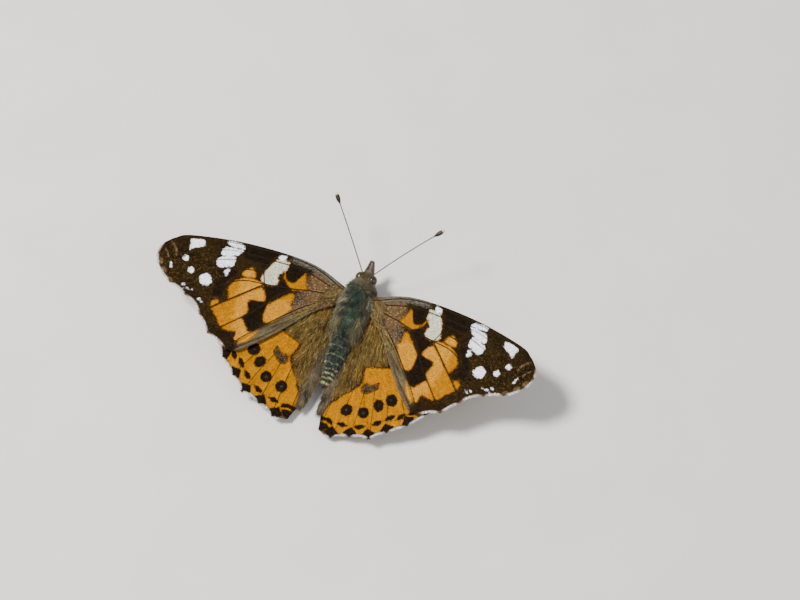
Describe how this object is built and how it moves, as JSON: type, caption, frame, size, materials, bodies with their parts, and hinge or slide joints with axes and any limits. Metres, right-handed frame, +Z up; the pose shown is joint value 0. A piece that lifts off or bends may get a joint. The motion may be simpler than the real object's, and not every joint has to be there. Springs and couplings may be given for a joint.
{
  "type": "painted lady butterfly",
  "caption": "Life-size painted lady butterfly standing with its patterned wings spread flat, antennae raised and tongue coiled.",
  "frame": {"origin": "on the floor, under the middle of the bounding box", "axes": "+Z up, -Y towards the head, +X towards the animal's left wing tip"},
  "size_m": [0.0642, 0.0362, 0.0122],
  "materials": {
    "forewing": "dry scaled membrane, orange with a black, white-spotted tip",
    "hindwing": "dry scaled membrane, orange with rows of black spots",
    "thorax": "dense soft hair, grey-green and olive",
    "head": "short dense hair, brown-grey",
    "abdomen": "short dark scales with thin pale rings",
    "eye": "smooth dark brown facets",
    "palp": "bristly hair, brown above and cream below",
    "tongue": "smooth dark brown horn",
    "antenna": "dark brown scales with pale rings and a cream tip",
    "leg": "fine pale brown scales"
  },
  "bodies": {
    "root": {"abdomen": "abdomen", "antenna_left": "antenna", "antenna_right": "antenna", "eye_left": "eye", "eye_right": "eye", "foreleg_left": "leg", "foreleg_right": "leg", "forewing_left": "forewing", "forewing_right": "forewing", "head": "head", "hindleg_left": "leg", "hindleg_right": "leg", "hindwing_left": "hindwing", "hindwing_right": "hindwing", "midleg_left": "leg", "midleg_right": "leg", "palp_left": "palp", "palp_right": "palp", "thorax": "thorax", "tongue": "tongue"}
  },
  "joints": []
}
